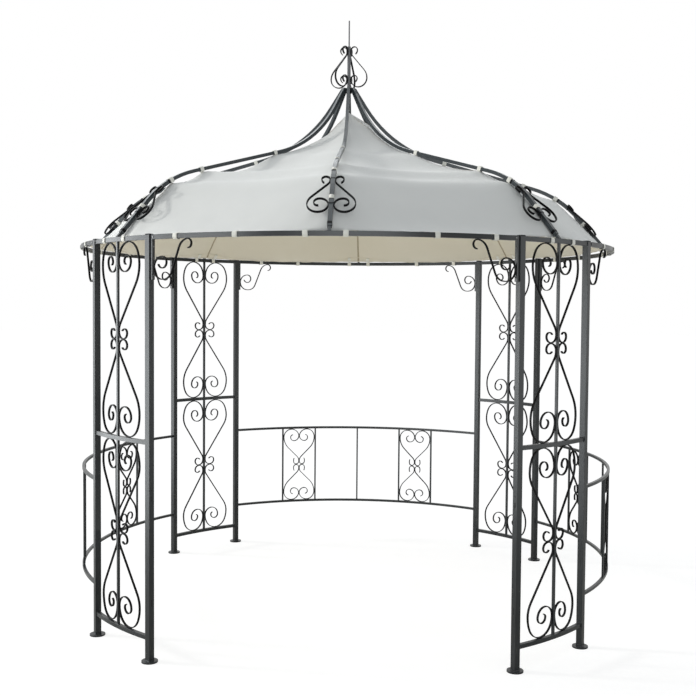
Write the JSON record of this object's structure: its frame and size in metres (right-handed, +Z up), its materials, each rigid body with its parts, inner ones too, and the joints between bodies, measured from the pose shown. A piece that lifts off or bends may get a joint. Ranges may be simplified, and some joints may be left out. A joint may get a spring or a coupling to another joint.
{
  "type": "round garden pavilion",
  "caption": "Round steel garden pavilion with scrollwork leg panels, low railings, curved roof ribs, a scroll finial and a tied canvas canopy.",
  "frame": {"origin": "on the ground at the middle of the circle of legs", "axes": "+Z up, the open side without a railing faces -Y, +X to the right of someone who looks in from there"},
  "size_m": [3.0036, 3.0036, 3.334],
  "materials": {
    "frame_paint": "satin anthracite powder coat",
    "scroll_paint": "satin black paint",
    "canvas": "woven canvas, slightly see-through",
    "strap_canvas": "sewn canvas straps"
  },
  "bodies": {
    "root": {"leg_panel_front_right": "frame_paint", "leg_panel_back_right": "frame_paint", "leg_panel_back_left": "frame_paint", "leg_panel_front_left": "frame_paint", "panel_scrolls_front_right": "scroll_paint", "panel_scrolls_back_right": "scroll_paint", "panel_scrolls_back_left": "scroll_paint", "panel_scrolls_front_left": "scroll_paint", "railing_right": "frame_paint", "railing_back": "frame_paint", "railing_left": "frame_paint", "railing_scrolls_right": "scroll_paint", "railing_scrolls_back": "scroll_paint", "railing_scrolls_left": "scroll_paint", "ring_beam_front": "frame_paint", "ring_beam_right": "frame_paint", "ring_beam_back": "frame_paint", "ring_beam_left": "frame_paint", "corner_brackets_front": "scroll_paint", "corner_brackets_right": "scroll_paint", "corner_brackets_back": "scroll_paint", "corner_brackets_left": "scroll_paint", "rib_front": "frame_paint", "rib_front_right": "frame_paint", "rib_right": "frame_paint", "rib_back_right": "frame_paint", "rib_back": "frame_paint", "rib_back_left": "frame_paint", "rib_left": "frame_paint", "rib_front_left": "frame_paint", "rib_scrolls_front": "scroll_paint", "rib_scrolls_front_right": "scroll_paint", "rib_scrolls_right": "scroll_paint", "rib_scrolls_back_right": "scroll_paint", "rib_scrolls_back": "scroll_paint", "rib_scrolls_back_left": "scroll_paint", "rib_scrolls_left": "scroll_paint", "rib_scrolls_front_left": "scroll_paint", "hub": "scroll_paint", "finial_stem": "frame_paint", "finial_scrolls": "scroll_paint", "canopy": "canvas", "canopy_straps": "strap_canvas"}
  },
  "joints": []
}
